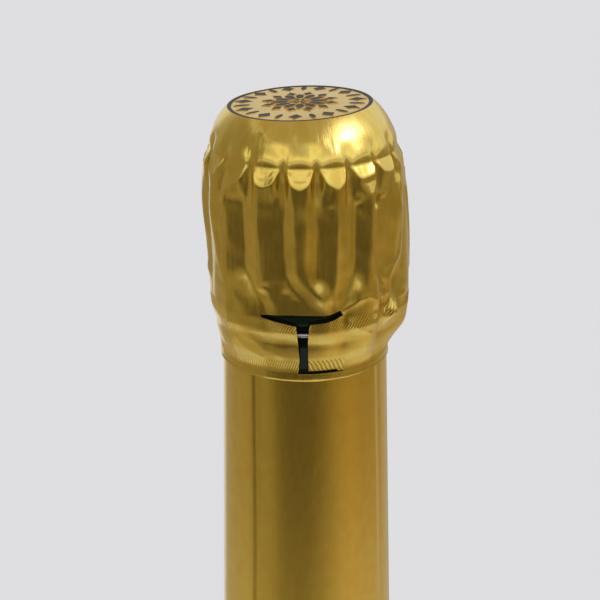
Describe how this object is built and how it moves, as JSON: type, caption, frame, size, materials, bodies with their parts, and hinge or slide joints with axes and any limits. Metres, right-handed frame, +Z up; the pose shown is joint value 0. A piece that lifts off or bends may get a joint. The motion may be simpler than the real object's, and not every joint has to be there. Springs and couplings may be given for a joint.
{
  "type": "sparkling wine bottle",
  "caption": "Sealed 75 cl sparkling wine bottle: dark glass, wired mushroom cork and a pleated gold foil hood whose tear strip is started",
  "frame": {"origin": "centre of the base's resting ring, on the surface that the bottle stands on", "axes": "+Z up the bottle's axis; -Y is the side of the tear tab and of the front label; +X to the right when facing that side"},
  "size_m": [0.0886, 0.0888, 0.3199],
  "materials": {
    "green_glass": "gloss",
    "wine": "gloss",
    "cork": "matte",
    "plaque_metal": "satin",
    "wire": "gloss",
    "gold_foil": "satin",
    "neck_foil": "satin",
    "label_paper": "matte"
  },
  "bodies": {
    "bottle": {"bottle_glass": "green_glass", "wine": "wine", "strip_root": "gold_foil", "foil_rim": "gold_foil", "foil_neck": "neck_foil", "collar_label": "label_paper", "front_label": "label_paper", "back_label": "label_paper"},
    "cork": {"cork_body": "cork", "cork_disc_upper": "cork", "cork_disc_lower": "cork"},
    "muselet": {"plaque": "plaque_metal", "wire_cage": "wire", "belt_wire": "wire", "twist_loop": "wire"},
    "hood": {"foil_hood": "gold_foil"},
    "peel_1": {"strip_1": "gold_foil"},
    "peel_2": {"strip_2": "gold_foil"},
    "peel_3": {"strip_3": "gold_foil"},
    "peel_4": {"strip_4": "gold_foil"},
    "peel_5": {"strip_5": "gold_foil"},
    "peel_6": {"strip_6": "gold_foil"},
    "peel_7": {"strip_7": "gold_foil"},
    "tab": {"tear_tab": "gold_foil"}
  },
  "joints": [
    {"name": "cork_pull", "type": "slide", "parent": "bottle", "child": "cork", "axis": [0, 0, 1], "range_m": [0, 0.04]},
    {"name": "muselet_lift", "type": "slide", "parent": "cork", "child": "muselet", "axis": [0, 0, 1], "range_m": [0, 0.045], "deforming": ["wire_cage", "belt_wire"]},
    {"name": "hood_lift", "type": "slide", "parent": "muselet", "child": "hood", "axis": [0, 0, 1], "range_m": [0, 0.045]},
    {"name": "strip_peel", "type": "hinge", "parent": "bottle", "child": "peel_1", "pos_m": [-0.01181, -0.01148, 0.2817], "axis": [-0.1889, -0.1837, 0.9647], "range_deg": [0, 8]},
    {"name": "strip_bend_2", "type": "hinge", "parent": "peel_1", "child": "peel_2", "pos_m": [-0.01575, -0.00074, 0.2817], "axis": [-0.1829, -0.0086, 0.9831], "range_deg": [0, 14]},
    {"name": "strip_bend_3", "type": "hinge", "parent": "peel_2", "child": "peel_3", "pos_m": [-0.01235, 0.00993, 0.2817], "axis": [-0.1464, 0.1177, 0.9822], "range_deg": [0, 20]},
    {"name": "strip_bend_4", "type": "hinge", "parent": "peel_3", "child": "peel_4", "pos_m": [-0.00263, 0.01538, 0.2817], "axis": [-0.0255, 0.1494, 0.9885], "range_deg": [0, 26]},
    {"name": "strip_bend_5", "type": "hinge", "parent": "peel_4", "child": "peel_5", "pos_m": [0.00821, 0.01323, 0.2817], "axis": [0.0766, 0.1235, 0.9894], "range_deg": [0, 32]},
    {"name": "strip_bend_6", "type": "hinge", "parent": "peel_5", "child": "peel_6", "pos_m": [0.01608, 0.00483, 0.2817], "axis": [0.2484, 0.0745, 0.9658], "range_deg": [0, 38]},
    {"name": "strip_bend_7", "type": "hinge", "parent": "peel_6", "child": "peel_7", "pos_m": [0.01543, -0.00713, 0.2817], "axis": [0.2536, -0.1172, 0.9602], "range_deg": [0, 44]},
    {"name": "tab_lift", "type": "hinge", "parent": "peel_7", "child": "tab", "pos_m": [0.00633, -0.01442, 0.2817], "axis": [0.072, -0.1639, 0.9838], "range_deg": [0, 110]}
  ],
  "couplings": [
    {"joint": "strip_bend_2", "follows": "strip_peel", "ratio": 1.75},
    {"joint": "strip_bend_3", "follows": "strip_peel", "ratio": 2.5},
    {"joint": "strip_bend_4", "follows": "strip_peel", "ratio": 3.25},
    {"joint": "strip_bend_5", "follows": "strip_peel", "ratio": 4},
    {"joint": "strip_bend_6", "follows": "strip_peel", "ratio": 4.75},
    {"joint": "strip_bend_7", "follows": "strip_peel", "ratio": 5.5}
  ]
}
